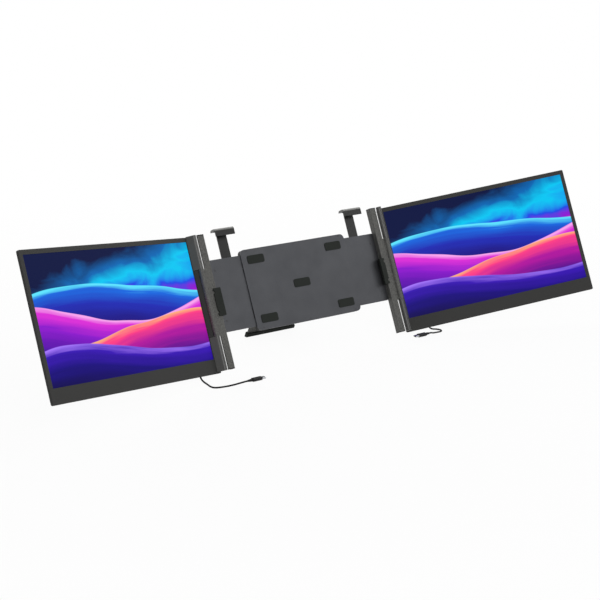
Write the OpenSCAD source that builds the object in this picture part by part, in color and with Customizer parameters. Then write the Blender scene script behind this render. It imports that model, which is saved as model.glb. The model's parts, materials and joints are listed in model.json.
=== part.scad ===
// Laptop screen extender: two hinged monitors on a telescopic bracket that clips over a laptop lid.
// Millimetres, +Z up. Origin: middle of the centre pad's face, which the lid's back rests on, level
// with the middle of both screens. The bracket leans back with the lid; +Y is away from the user.
// Inside the modules, y = 0 is the hinge lines' plane, and z runs up the leaning bracket.

/* [Screens] */
// Width of the lit area of each screen
screen_w = 344.2; // [335:0.1:352]
// Height of the lit area of each screen
screen_h = 193.6; // [180:0.1:198]
// Frame beside the lit area on the side away from the hinge
bezel_outer = 7; // [6:0.5:9]
// Frame beside the lit area on the hinge side
bezel_inner = 10.5; // [10:0.5:11]
// Frame above the lit area
bezel_top = 7.5; // [6:0.5:9]
// Frame below the lit area
bezel_chin = 23.6; // [20:0.2:26]
// Thickness of a monitor along its edges
edge_t = 4.5; // [4.3:0.1:5]
// Thickness of a monitor over its electronics
body_t = 9; // [8.5:0.1:9.5]
// Radius of a monitor's corners
corner_r = 3; // [2:0.5:5]
// Rounding of the front frame's edges
bezel_edge = 0.8; // [0.4:0.1:1.1]
// Wall of the front frame's rim
rim_wall = 1.2; // [1:0.1:1.4]
// Thickness of the lip that holds the panel from the front
lip_t = 0.7; // [0.5:0.1:0.8]
// Wall of the rear cover
cover_wall = 1; // [0.8:0.1:1.2]
// Thickness of the liquid crystal panel
panel_t = 1.2; // [1:0.1:1.3]
// Thickness of the backlight unit
backlight_t = 1.4; // [1:0.1:1.5]

/* [Wing hinges] */
// Angle between each screen and the laptop's own screen
toe_in = 20; // [0:1:30]
// Radius of the hinge barrels
barrel_r = 4.75; // [4.5:0.05:5]
// Radius of the hinge pin
pin_r = 2; // [1.5:0.1:2.4]
// Running clearance round the pin
pin_clearance = 0.05; // [0.02:0.01:0.08]
// Length of the upper barrel, and of the lower one
knuckle_len = 56; // [48:1:60]
// Gap between neighbouring barrels
knuckle_gap = 0.3; // [0.2:0.05:0.5]
// Distance of the left screen's face behind its hinge line
left_offset = 7; // [6.5:0.1:7.5]
// Distance of the right screen's face behind its hinge line, one monitor and a gap more
right_offset = 17; // [16.6:0.1:18]
// Distance from the hinge line to the lit area, along the screen
screen_gap = 11.5; // [11:0.1:12.5]
// Wall of the cranked leaf that holds a barrel to the front frame
leaf_t = 1.6; // [1.2:0.1:2]
// Clearance between the trim behind the middle barrel and that barrel
trim_gap = 0.7; // [0.5:0.1:0.9]

/* [Posts and grips] */
// Width of the laptop lid that the bracket is set to
lid_w = 328; // [327:0.5:334]
// Thickness of the space for the laptop lid
lid_t = 6.5; // [6:0.1:7.5]
// Height of the lid's top edge above the middle of the screens
lid_top = 105.5; // [100:0.5:112]
// Thickness of the rubber between the post and the lid's edge
grip_t = 4; // [3:0.5:5]
// Height of a side grip
grip_h = 46; // [36:1:60]
// Height of the side grip's middle, below the middle of the screens
grip_drop = 8; // [0:1:16]
// How far a grip's lip reaches over the lid's frame
grip_lip = 2.5; // [1.5:0.5:4]
// Thickness of a grip's flap in front of the post
grip_face = 1.8; // [1.2:0.1:2.2]
// How far the left grip's flap reaches over its post
left_flap = 7; // [3:0.5:8]
// How far the right grip's flap reaches over its post
right_flap = 3; // [3:0.5:8]
// Width of a post's front flange
post_w = 12; // [11:0.5:12.5]
// Thickness of a post's front flange, and of its web
post_t = 3.5; // [3:0.1:4]
// How far the posts rise above the monitors
post_over = 0.7; // [0:0.1:2]
// How far the posts end above the monitors' bottom edge
post_short = 2.4; // [1:0.1:6]

/* [Bracket] */
// How far the bracket leans back
recline = 24.75; // [15:0.25:30]
// Width of the housing
housing_w = 210; // [196:1:212]
// Height of the housing's rim above the arms, and below them
housing_rim = 8; // [7:0.5:12]
// Height of the housing's and the arms' middle above the middle of the screens
housing_rise = 2; // [0:0.5:3]
// Thickness of the housing's front plate
plate_t = 1.5; // [1:0.1:2]
// Thickness of the sliding arms
arm_t = 2; // [1.5:0.1:2.5]
// Height of the sliding arms
arm_h = 120; // [110:1:122]
// Running gap between sliding sheets
slide_gap = 0.3; // [0.2:0.05:0.5]
// Width of the teeth across the rack
rack_t = 3; // [2.5:0.1:3.5]
// Wall of the housing's rear cover
housing_wall = 2; // [1.6:0.1:2.4]
// Thickness of the rubber lid pads
pad_t = 1; // [0.6:0.1:1.5]
// Module of the rack and pinion
tooth_module = 1.25; // [1.2:0.05:1.3]
// Teeth on the pinion
pinion_teeth = 18; // [18:2:20]
// Play between the teeth
backlash = 0.3; // [0.2:0.05:0.4]
// Radius of the pinion's shaft
shaft_r = 3; // [2.5:0.1:4]
// How far each arm pulls out from where it stands
arm_out = 34; // [20:1:36]
// How far each arm pushes in from where it stands
arm_in = 3; // [1:0.5:3]

/* [Top clips] */
// Distance of each clip from the middle
clip_x = 129; // [126:0.5:131]
// Width of a clip's hook
clip_w = 36; // [30:1:38]
// Thickness of a clip's lip and top
clip_t = 2.2; // [2:0.1:2.4]
// How far a clip's lip hangs over the lid's frame
clip_lip = 8; // [5:0.5:10]
// Rise of a clip's top above the lid
clip_rise = 5; // [4:0.5:6]
// Width of a clip's stem
stem_w = 18; // [14:1:22]
// Bottom end of a clip's stem above the middle of the screens
stem_low = 10; // [5:1:14]
// Height of the guide that holds a stem
guide_h = 36; // [30:1:38]

/* [Kickstand] */
// Drop from the middle pad to the table
table_drop = 115.5; // [115:0.5:122]
// Angle that the leg stands open from the housing
kick_angle = 50; // [40:1:55]
// Height of the leg's hinge above the middle of the screens
kick_rise = 45; // [36:1:50]
// Width of the leg at its hinge
leg_top_w = 66; // [56:1:80]
// Width of the leg at its foot
leg_foot_w = 96; // [80:1:120]
// Thickness of the leg
leg_t = 2.5; // [2:0.1:3]
// Radius of the leg's hinge barrel
leg_barrel_r = 3.2; // [3:0.1:3.5]
// Radius of the leg's hinge pin
leg_pin_r = 1.5; // [1.2:0.1:1.8]
// Length of each hinge ear on the housing
ear_len = 8; // [6:1:10]

/* [Cables] */
// Diameter of the cables
cable_d = 2.8; // [2.4:0.1:3.2]
// Distance of a cable's gland from the hinge line, along the screen
gland_u = 45; // [40:1:50]

/* [Hidden] */
$fn = 48;
SIDES = ["left", "right"];
SIDE_PARTS = ["front_bezel", "lcd_panel", "backlight_unit", "rear_cover", "cover_screws",
    "upper_knuckle", "lower_knuckle", "hinge_trim", "driver_board", "speakers", "power_button",
    "menu_button", "cable_gland", "arm_plate", "arm_rack", "arm_screws", "post", "post_caps", "side_grip",
    "hinge_pin", "clip_guide", "clip_hook", "clip_pad", "cable", "cable_plug"];

BLACK = "#2b2b2b";
GREY = "#4a4a48";
STEEL = "#8d9093";
RUBBER = "#1b1b1b";

// Small clearances
touch = 0.05;
cut = 1;

// Monitor, in its own hinge frame: u outward from the hinge line, n behind it, z up
u_in = screen_gap - bezel_inner;
u_out = screen_gap + screen_w + bezel_outer;
z_top = screen_h / 2 + bezel_top;
z_bottom = -screen_h / 2 - bezel_chin;
rim_depth = edge_t - 1.5;
panel_margin = 3.5;
panel_foot = 4;
hump_margin = 10;
hump_slope = 7;
hump_chin = 14;
hump_r = 5;
hump_z0 = z_bottom + hump_chin;
board_t = 1.2;
board_n = body_t - cover_wall - 1.6 - board_t;
board_w = 110;
board_h = 34;
board_u = (u_in + u_out) / 2;
board_rise = 52;
board_z = z_bottom + board_rise;
board_boss_r = 2.5;
chip_w = 12;
chip_pitch = 22;
speaker_w = 42;
speaker_h = 14;
speaker_t = 3;
speaker_rise = 46;
speaker_side = 56;
speaker_z = z_bottom + speaker_rise;
speaker_u = [u_in + speaker_side, u_out - speaker_side];
vent_count = 7;
vent_pitch = 4;
vent_w = 1.2;
vent_h = 9;
slot_count = 11;
slot_pitch = 6;
slot_w = 1.6;
slot_h = 16;
screw_r = 1;
screw_head_r = 1.9;
screw_boss_r = 2.3;
screw_in = 4.4;
screw_side = 16;
screw_drop = 40;
screw_pitch = 40;
chin_screw = 7;
chin_mid = z_bottom + chin_screw;
screw_spots = [[u_in + screw_in, z_top - screw_drop], [u_in + screw_side, chin_mid],
    [board_u - screw_pitch, chin_mid], [board_u + screw_pitch, chin_mid], [u_out - screw_side, chin_mid]];
button_r = 3;
button_side = 46;
button_pitch = 16;
button_spots = [u_out - button_side, u_out - button_side - button_pitch];
button_rise = 0.9;
button_travel = 0.5;
button_z = chin_mid;
button_stem_r = 1.6;
gland_r = 2.3;
gland_n = edge_t + 1.8;
gland_h = 15;
gland_cone = 3;
gland_rise = 8;
gland_low = z_bottom + gland_rise;
gland_high = gland_low + gland_h;

// Posts and arms, in the lid's frame, right-hand side
lid_front = -0.5;
lid_back = lid_front + lid_t;
lid_side = lid_w / 2;
post_in = lid_side + grip_t;
post_out = post_in + post_w;
axis_x = post_out + 2.75 + barrel_r;
pad_front = lid_back + slide_gap;
plate_front = pad_front + pad_t;
plate_back = plate_front + plate_t;
arm_front = plate_back + slide_gap;
arm_back = arm_front + arm_t;
rack_back = arm_back + rack_t;
cover_in = rack_back + 0.5;
cover_out = cover_in + housing_wall;
arm_end = 18;
arm_mid = housing_rise;
flange_t = 2;
flange_w = 18;
flange_h = arm_h - 4;
window_in = 50;
window_out = 66;
window_h = 24;
window_rim = 10;
flange_reach = post_in + post_t;
post_top = z_top + post_over;
post_drop = -z_bottom - post_short;
post_h = post_top + post_drop;
cap_t = 1.5;
grip_play = 0.2;
notch_in = 6.5;
notch_h = 4;
notch_deep = 2;
upper_z0 = post_top - knuckle_len;
lower_z1 = -post_drop + knuckle_len;
arm_screw_r = 1.6;
arm_screw_head_r = 3;
arm_screw_in = 10;
rack_screw_in = 12;
rack_screw_pitch = 22;
rack_screw_x = [arm_end + rack_screw_in, arm_end + rack_screw_in + rack_screw_pitch];
arm_screw_edge = 16;
arm_screw_z = [arm_screw_edge - flange_h / 2, 0, flange_h / 2 - arm_screw_edge];

// Housing
h_x = housing_w / 2;
h_z0 = housing_rise - arm_h / 2 - housing_rim;
h_z1 = housing_rise + arm_h / 2 + housing_rim;
h_r = 8;
h_screw_r = 1.25;
h_screw_head_r = 2.4;
h_boss_r = 2.6;
h_screw_side = 12;
h_screw_in = 3.2;
h_screw_x = [-h_x + h_screw_side, 0, h_x - h_screw_side];
h_screw_z = [h_z0 + h_screw_in, h_z1 - h_screw_in];
pad_w = 32;
pad_h = 14;
pad_side = 27;
pad_in = 18;

// Rack and pinion
pitch_r = tooth_module * pinion_teeth / 2;
tooth_pitch = PI * tooth_module;
tooth_top = tooth_module;
tooth_root = 1.25 * tooth_module;
pressure = 20;
rack_body = 7;
rack_spare = 8;
rack_past = arm_out + rack_spare;
rack_back_x = 60;
pinion_front = arm_back + 0.4;

// Clips
clip_front = lid_front - slide_gap - clip_t;
clip_top = lid_top + clip_rise;
clip_arch = 4;
clip_under = clip_top - clip_arch;
stem_front = arm_back + slide_gap;
stem_back = stem_front + 2;
guide_z0 = 22;
guide_wall = 2.5;
guide_back = stem_back + slide_gap + 2;
stop_count = 5;
stop_pitch = 8;
stop_r = 1.2;

// Kickstand, in the lid's frame
kick_y = cover_out + 0.5 + leg_barrel_r;
kick_pin_z = -(kick_y - pad_front) * sin(recline) + kick_rise * cos(recline);
leg_len = (table_drop + kick_pin_z) / cos(kick_angle - recline);
ear_x0 = leg_top_w / 2 + 0.3;
ear_x1 = ear_x0 + ear_len;
foot_t = 2;
foot_h = 9;
leg_shoulder = 24;
leg_heel = 14;
leg_slot_w = 32;
leg_slot_high = 40;
leg_slot_low = 34;
leg_rib = 1.2;
leg_rib_w = 3;
leg_rib_in = 7;

// Cable routes in the part's own axes, from below the gland to the plug's boot
left_cable_route = [[-234, -59.5, -107.5], [-232, -62, -111.5], [-230.5, -67, -113.6],
    [-230.6, -74, -114], [-231.5, -82, -114], [-230.8, -88.8, -114], [-227.5, -93, -114],
    [-222, -96, -113.8], [-215.5, -100, -112.8], [-209.5, -104.6, -111.2], [-204, -109.2, -109.2],
    [-199, -113.2, -107.2], [-194.5, -116.6, -105.4], [-190.8, -118.8, -104.2],
    [-187.6, -119.8, -103.6], [-184.5, -120, -103.5]];
right_cable_route = [[239, -49.8, -109.8], [242, -50, -112.2], [246.5, -50.5, -113.8],
    [250.5, -53, -114], [253.4, -57.5, -114], [254, -62.5, -114], [251.5, -67, -113.9],
    [246, -69.8, -113.5], [238.5, -72, -112.5], [230, -75.2, -111], [222.5, -79.1, -109],
    [216.8, -83, -106.8], [212.2, -86.3, -105], [208.6, -88.6, -103.9], [206, -89.7, -103.5],
    [204, -90, -103.5]];
plug_boot = 8;
plug_body = 16.5;
plug_w = 9;
plug_t = 5.6;
plug_tip = 6.5;

module box(x0, x1, y0, y1, z0, z1) {
    translate([x0, y0, z0]) cube([x1 - x0, y1 - y0, z1 - z0]);
}

// Rounded rectangle made of true arcs
module rounded(x0, x1, y0, y1, r) {
    translate([x0 + r, y0]) square([x1 - x0 - 2 * r, y1 - y0]);
    translate([x0, y0 + r]) square([x1 - x0, y1 - y0 - 2 * r]);
    for (x = [x0 + r, x1 - r]) for (y = [y0 + r, y1 - r]) translate([x, y]) circle(r);
}

// Plate with rounded corners, standing in the x-z plane, thick from y0 to y1
module slab(x0, x1, z0, z1, y0, y1, r) {
    translate([0, y1, 0]) rotate([90, 0, 0]) linear_extrude(y1 - y0) rounded(x0, x1, z0, z1, r);
}

// Plate like slab, with its other face at y0, and the edges of its face at y1 rounded by e
module eased(x0, x1, z0, z1, y0, y1, r, e) {
    low = y1 < y0 ? y1 : y0 - 3 * e;
    high = y1 < y0 ? y0 + 3 * e : y1;
    intersection() {
        slab(x0, x1, z0, z1, min(y0, y1), max(y0, y1), r);
        translate([x0 - cut, 0, 0]) rotate([90, 0, 90]) linear_extrude(x1 - x0 + 2 * cut)
            rounded(low, high, z0, z1, e);
        translate([0, 0, z0 - cut]) linear_extrude(z1 - z0 + 2 * cut) rounded(x0, x1, low, high, e);
    }
}

// Cylinder along y
module rod_y(x, z, y0, y1, r) {
    translate([x, y1, z]) rotate([90, 0, 0]) cylinder(r = r, h = y1 - y0);
}

// Cylinder along z
module rod_z(x, y, z0, z1, r) {
    translate([x, y, z0]) cylinder(r = r, h = z1 - z0);
}

// Leans what is drawn in the bracket's own frame back, about the middle pad
module lean() {
    rotate([-recline, 0, 0]) translate([0, -pad_front, 0]) children();
}

// Places what is drawn for the right-hand side of the leaning bracket
module on_side(side) {
    lean() {
        if (side == "left") mirror([1, 0, 0]) children();
        else children();
    }
}

// Places what is drawn in a monitor's hinge frame
module on_wing(side) {
    on_side(side) translate([axis_x, 0, 0]) rotate([0, 0, -toe_in]) translate([0, offset_of(side), 0])
        children();
}

function offset_of(side) = side == "left" ? left_offset : right_offset;

module front_bezel(side) {
    color(BLACK) on_wing(side) difference() {
        union() {
            difference() {
                eased(u_in, u_out, z_bottom, z_top, rim_depth, 0, corner_r, bezel_edge);
                slab(u_in + rim_wall, u_out - rim_wall, z_bottom + rim_wall, z_top - rim_wall,
                    lip_t, rim_depth + cut, corner_r - rim_wall);
            }
            for (s = screw_spots) rod_y(s[0], s[1], lip_t - touch, rim_depth, screw_boss_r);
        }
        box(screen_gap, screen_gap + screen_w, -cut, lip_t + cut, -screen_h / 2, screen_h / 2);
        for (s = screw_spots) rod_y(s[0], s[1], lip_t, rim_depth + cut, screw_r + touch);
    }
}

module lcd_panel(side) {
    color("#20306a") on_wing(side) slab(screen_gap - panel_margin, screen_gap + screen_w + panel_margin,
        -screen_h / 2 - panel_foot, screen_h / 2 + panel_margin, lip_t + touch, lip_t + touch + panel_t, 1);
}

module backlight_unit(side) {
    start = lip_t + panel_t + 2 * touch;
    color("#d8d8d4") on_wing(side) slab(screen_gap - panel_margin, screen_gap + screen_w + panel_margin,
        -screen_h / 2 - panel_foot, screen_h / 2 + panel_margin, start, start + backlight_t, 1);
}

// Raised part of the rear cover, grown inward by wall
module hump(wall, depth) {
    hull() {
        slab(u_in + hump_margin + wall, u_out - hump_margin - wall, hump_z0 + wall,
            z_top - hump_margin - wall, edge_t - cover_wall, edge_t, hump_r);
        slab(u_in + hump_margin + hump_slope + wall, u_out - hump_margin - hump_slope - wall,
            hump_z0 + hump_slope + wall, z_top - hump_margin - hump_slope - wall,
            depth - 0.1, depth, hump_r);
    }
}

// Row of upright slots through the raised part
module slots(u, z, count, pitch, w, h) {
    for (i = [0:count - 1]) translate([u + (i - (count - 1) / 2) * pitch, 0, z])
        slab(-w / 2, w / 2, -h / 2, h / 2, body_t - cover_wall - cut / 2, body_t + cut, w / 2 - 0.01);
}

module rear_cover(side) {
    color(BLACK) on_wing(side) difference() {
        union() {
            difference() {
                union() {
                    slab(u_in, u_out, z_bottom, z_top, rim_depth + touch, edge_t, corner_r);
                    hump(0, body_t);
                }
                slab(u_in + rim_wall, u_out - rim_wall, z_bottom + rim_wall, z_top - rim_wall,
                    rim_depth - cut, edge_t - cover_wall, corner_r - rim_wall);
                hump(cover_wall, body_t - cover_wall);
            }
            for (u = [-1, 1]) for (z = [-1, 1])
                rod_y(board_u + u * (board_w / 2 - 5), board_z + z * (board_h / 2 - 5),
                    board_n + board_t, body_t - cover_wall / 2, board_boss_r);
        }
        for (u = speaker_u) slots(u, speaker_z, vent_count, vent_pitch, vent_w, vent_h);
        slots(board_u, board_z, slot_count, slot_pitch, slot_w, slot_h);
        rod_z(gland_u, gland_n, gland_low - cut, gland_high + cut, gland_r + touch);
        for (s = screw_spots) {
            rod_y(s[0], s[1], rim_depth - cut, edge_t + cut, screw_r + touch);
            rod_y(s[0], s[1], edge_t - 0.6, edge_t + cut, screw_head_r + touch);
        }
        for (u = button_spots) rod_y(u, button_z, rim_depth - cut, edge_t + cut, button_r + 0.15);
    }
}

module cover_screws(side) {
    color(STEEL) on_wing(side) for (s = screw_spots) {
        rod_y(s[0], s[1], lip_t + 0.3, edge_t - 0.6, screw_r);
        rod_y(s[0], s[1], edge_t - 0.6, edge_t - 0.05, screw_head_r);
    }
}

// Point round the hinge line, in a monitor's hinge frame
function polar(r, a) = [r * cos(a), r * sin(a)];

// Angle at which a line from the barrel's front just touches it on the way to the point p
function touching(p) = atan2(p[1], p[0]) - acos(barrel_r / norm(p));

// Hinge barrel on a cranked leaf that runs back to the front frame; a deep one is cored
module knuckle(side, z0, z1) {
    back = offset_of(side);
    toe = [screen_gap - 1.5, back];
    heel = [u_in, back];
    brow = polar(barrel_r, touching(toe));
    side_in = polar(barrel_r - 0.4, 120);
    core = [barrel_r + leaf_t, back - leaf_t];
    color(GREY) on_side(side) translate([axis_x, 0, z0]) rotate([0, 0, -toe_in])
        linear_extrude(z1 - z0) difference() {
            union() {
                circle(barrel_r);
                polygon([[0, 0], brow, toe, heel, side_in]);
            }
            circle(pin_r + pin_clearance);
            if (core[1] > core[0] + leaf_t) polygon([
                [across(side_in, heel, core[0]) + leaf_t, core[0]],
                [across(brow, toe, core[0]) - leaf_t, core[0]],
                [across(brow, toe, core[1]) - leaf_t, core[1]],
                [across(side_in, heel, core[1]) + leaf_t, core[1]]]);
        }
}

// Where the line from a to b stands at depth n
function across(a, b, n) = a[0] + (b[0] - a[0]) * (n - a[1]) / (b[1] - a[1]);

// Filler between the two leaves, hollowed out round the middle barrel
module hinge_trim(side) {
    back = offset_of(side);
    z0 = lower_z1 + knuckle_gap;
    color(BLACK) on_side(side) translate([axis_x, 0, z0]) rotate([0, 0, -toe_in])
        linear_extrude(upper_z0 - knuckle_gap - z0) difference() {
            polygon([polar(barrel_r, 12), [screen_gap - 1.7, back], [u_in, back], polar(barrel_r, 100)]);
            circle(barrel_r + trim_gap);
        }
}

module driver_board(side) {
    color("#1d5a38") on_wing(side) {
        slab(board_u - board_w / 2, board_u + board_w / 2, board_z - board_h / 2, board_z + board_h / 2,
            board_n, board_n + board_t, 2);
        for (i = [-1.5:1:1.5]) translate([board_u + i * chip_pitch, 0, board_z])
            box(-chip_w / 2, chip_w / 2, board_n - 1, board_n, -chip_w / 2, chip_w / 2);
    }
}

module speakers(side) {
    color("#101010") on_wing(side) for (u = speaker_u)
        slab(u - speaker_w / 2, u + speaker_w / 2, speaker_z - speaker_h / 2, speaker_z + speaker_h / 2,
            body_t - cover_wall - speaker_t, body_t - cover_wall - touch, 3);
}

// Push button in the rear of the chin: a round cap, and a stem down to its switch
module button(side, u) {
    color(GREY) on_wing(side) {
        rod_y(u, button_z, edge_t - 0.6, edge_t + button_rise, button_r);
        rod_y(u, button_z, lip_t + button_travel + 0.4, edge_t - 0.6, button_stem_r);
    }
}

module cable_gland(side) {
    color(RUBBER) on_wing(side) {
        rod_z(gland_u, gland_n, gland_low + gland_cone, gland_high, gland_r);
        for (i = [0:2]) translate([gland_u, gland_n, gland_low + i * gland_cone / 3])
            cylinder(r1 = gland_r - 0.6 + i * 0.15, r2 = gland_r - 0.3 + i * 0.15, h = gland_cone / 3);
    }
}

module arm_plate(side) {
    window_x = [arm_end + window_in, flange_reach - window_out];
    window_z = arm_h / 2 - window_rim - window_h / 2;
    color(STEEL) on_side(side) difference() {
        slab(arm_end, post_in, arm_mid - arm_h / 2, arm_mid + arm_h / 2, arm_front, arm_back, 3);
        for (z = [-1, 1]) slab(window_x[0], window_x[1], arm_mid + z * window_z - window_h / 2,
            arm_mid + z * window_z + window_h / 2, arm_front - cut, arm_back + cut, 5);
        for (z = arm_screw_z) rod_y(post_in - arm_screw_in, arm_mid + z, arm_front - cut, arm_back + cut,
            arm_screw_r + touch);
        for (x = rack_screw_x) rod_y(x, rack_z(side), arm_front - cut, arm_back + cut,
            h_screw_r + touch);
    }
}

// Middle height of the rack's body: the left one runs over the pinion, the right one under it
function rack_side(side) = side == "left" ? 1 : -1;
function rack_z(side) = rack_side(side) * (pitch_r + tooth_root + rack_body / 2);

// Teeth point at the pinion; a gap stands over the pinion's middle
module rack_profile() {
    half = tooth_pitch / 4 - backlash / 4;
    slope = tan(pressure);
    first = 0.5 - floor((rack_past - 2) / tooth_pitch);
    polygon([[rack_back_x, -tooth_root], [rack_back_x, -tooth_root - rack_body],
        [-rack_past, -tooth_root - rack_body], [-rack_past, -tooth_root],
        for (k = [first:1:3]) each [[k * tooth_pitch - half - tooth_root * slope, -tooth_root],
            [k * tooth_pitch - half + tooth_top * slope, tooth_top],
            [k * tooth_pitch + half - tooth_top * slope, tooth_top],
            [k * tooth_pitch + half + tooth_root * slope, -tooth_root]]]);
}

module arm_rack(side) {
    flip = side == "left" ? 1 : 0;
    color(STEEL) on_side(side) mirror([0, 0, flip]) difference() {
        translate([0, rack_back, -pitch_r]) rotate([90, 0, 0]) linear_extrude(rack_t) rack_profile();
        for (x = rack_screw_x) rod_y(x, -abs(rack_z(side)), arm_back - cut,
            rack_back + cut, h_screw_r + touch);
        box(-rack_past - cut, arm_end - 0.5, arm_back - cut, arm_back + slide_gap,
            -pitch_r - tooth_root - rack_body - cut, 0);
    }
}

// Screws through the post's flange into the arm, and through the rack
module arm_screws(side) {
    color("#a0a0a0") on_side(side) {
        for (z = arm_screw_z) {
            rod_y(post_in - arm_screw_in, arm_mid + z, arm_front + 0.2, arm_back + flange_t, arm_screw_r);
            rod_y(post_in - arm_screw_in, arm_mid + z, arm_back + flange_t, arm_back + flange_t + 1.2,
                arm_screw_head_r);
        }
        for (x = rack_screw_x) rod_y(x, rack_z(side), arm_front + 0.2, rack_back, h_screw_r);
    }
}

// Extruded corner post with the hinge's middle barrel
module post(side) {
    color(GREY) on_side(side) difference() {
        union() {
            translate([0, 0, -post_drop + cap_t]) linear_extrude(post_h - 2 * cap_t) post_profile();
            slab(post_in - flange_w, flange_reach, arm_mid - flange_h / 2, arm_mid + flange_h / 2,
                arm_back, arm_back + flange_t, 3);
            box(post_in, flange_reach, lid_front + 1, arm_back + flange_t,
                arm_mid - flange_h / 2 + 3, arm_mid + flange_h / 2 - 3);
            rod_z(axis_x, 0, lower_z1 + knuckle_gap, upper_z0 - knuckle_gap, barrel_r);
            box(post_out - 2, axis_x - 1, lid_front, lid_front + post_t, lower_z1 + knuckle_gap,
                upper_z0 - knuckle_gap);
        }
        rod_z(axis_x, 0, lower_z1 - cut, upper_z0 + cut, pin_r);
        for (z = arm_screw_z) rod_y(post_in - arm_screw_in, arm_mid + z, arm_back - cut,
            arm_back + flange_t + cut, arm_screw_r + touch);
    }
}

module post_profile() {
    rounded(post_in, post_out, lid_front, lid_front + post_t, 0.8);
    translate([post_in, lid_front + 0.8]) square([post_t, arm_back - lid_front - 0.8]);
}

module post_caps(side) {
    color(BLACK) on_side(side) {
        for (z = [-post_drop, post_top - cap_t + touch]) translate([0, 0, z])
            linear_extrude(cap_t - touch) post_profile();
    }
}

// Rubber block at the lid's edge, with a notched flap over the lid's frame and the post
module side_grip(side) {
    low = -grip_drop - grip_h / 2;
    high = low + grip_h;
    edge = post_in + (side == "left" ? left_flap : right_flap);
    face = lid_front - grip_play - grip_face;
    color(RUBBER) on_side(side) difference() {
        union() {
            translate([0, 0, low]) linear_extrude(grip_h) {
                rounded(lid_side, post_in, face, lid_back + 0.6, 0.8);
                translate([lid_side + 1, lid_front]) square([grip_t - 1, lid_t]);
            }
            slab(lid_side - grip_lip, edge, low, high, face, lid_front - grip_play, 1.5);
        }
        for (z = [low + notch_in, high - notch_in]) slab(edge - notch_deep, edge + 2 * notch_deep,
            z - notch_h / 2, z + notch_h / 2, face - cut, lid_front - grip_play + cut / 20, 0.8);
    }
}

module hinge_pin(side) {
    color(STEEL) on_side(side) rod_z(axis_x, 0, -post_drop + 1, post_top - 1, pin_r);
}

// Bridge on the arm that a clip's stem slides through
module clip_guide(side) {
    color(BLACK) on_side(side) difference() {
        slab(clip_x - stem_w / 2 - guide_wall - slide_gap, clip_x + stem_w / 2 + guide_wall + slide_gap,
            guide_z0, guide_z0 + guide_h, arm_back, guide_back, 2);
        box(clip_x - stem_w / 2 - slide_gap, clip_x + stem_w / 2 + slide_gap, arm_back - cut,
            stem_back + slide_gap, guide_z0 - cut, guide_z0 + guide_h + cut);
    }
}

module clip_hook(side) {
    color(GREY) on_side(side) union() {
        translate([clip_x - clip_w / 2, 0, 0]) rotate([90, 0, 90]) linear_extrude(clip_w) {
            intersection() {
                rounded(clip_front, stem_back, clip_under - clip_arch, clip_top, clip_arch - 0.01);
                translate([clip_front - cut, clip_under]) square([stem_back - clip_front + 2 * cut,
                    clip_arch + cut]);
            }
            rounded(clip_front, clip_front + clip_t, lid_top - clip_lip, clip_under, 1);
            translate([clip_front, clip_under - 1]) square([clip_t, 1]);
            translate([clip_front + 0.5, clip_under - 1]) square([clip_t - 0.5, 2]);
        }
        difference() {
            slab(clip_x - stem_w / 2, clip_x + stem_w / 2, stem_low, clip_under + 2, stem_front, stem_back,
                1.5);
            for (i = [0:stop_count - 1]) for (s = [-1, 1]) rod_y(clip_x + s * stem_w / 2,
                stem_low + stop_pitch * (i + 1), stem_front - cut, stem_back + cut, stop_r);
        }
    }
}

module clip_pad(side) {
    color(RUBBER) on_side(side) box(clip_x - clip_w / 2 + 2, clip_x + clip_w / 2 - 2,
        clip_front + clip_t, lid_back, lid_top, clip_under);
}

// Tube of sides faces swept along the points
function unit(v) = v / norm(v);
function tangent(p, i) = unit(p[min(i + 1, len(p) - 1)] - p[max(i - 1, 0)]);
function ring(c, t, r, n) = let (a = unit(cross(t, [0.3, 0.1, 1])), b = cross(t, a))
    [for (k = [0:n - 1]) c + r * (cos(360 * k / n) * a + sin(360 * k / n) * b)];
module tube(points, r) {
    n = 8;
    m = len(points);
    rings = [for (i = [0:m - 1]) each ring(points[i], tangent(points, i), r, n)];
    sides = [for (i = [0:m - 2]) for (k = [0:n - 1])
        [i * n + k, (i + 1) * n + k, (i + 1) * n + (k + 1) % n, i * n + (k + 1) % n]];
    polyhedron(rings, concat([[for (k = [0:n - 1]) k]], sides,
        [[for (k = [n - 1:-1:0]) (m - 1) * n + k]]), convexity = 6);
}

// Smooth points between the chosen ones
function spline(a, b, c, d, t) = ((-a + 3 * b - 3 * c + d) * t * t * t
    + (2 * a - 5 * b + 4 * c - d) * t * t + (c - a) * t + 2 * b) / 2;
function smooth(p) = let (m = len(p) - 1) concat([for (i = [0:m - 1]) for (t = [0, 0.5])
    spline(p[max(i - 1, 0)], p[i], p[i + 1], p[min(i + 2, m)], t)], [p[m]]);

function route_of(side) = side == "left" ? left_cable_route : right_cable_route;

// A point of a monitor's hinge frame, in the part's own axes
function place(side, u, n, z) = let (x = axis_x + u * cos(toe_in) + (n + offset_of(side)) * sin(toe_in),
    y = (n + offset_of(side)) * cos(toe_in) - u * sin(toe_in) - pad_front)
    [side == "left" ? -x : x, y * cos(recline) + z * sin(recline), z * cos(recline) - y * sin(recline)];

module cable(side) {
    start = [for (d = [0, 2, 4]) place(side, gland_u, gland_n, gland_low - d)];
    color(RUBBER) tube(smooth(concat(start, route_of(side))), cable_d / 2);
}

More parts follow.
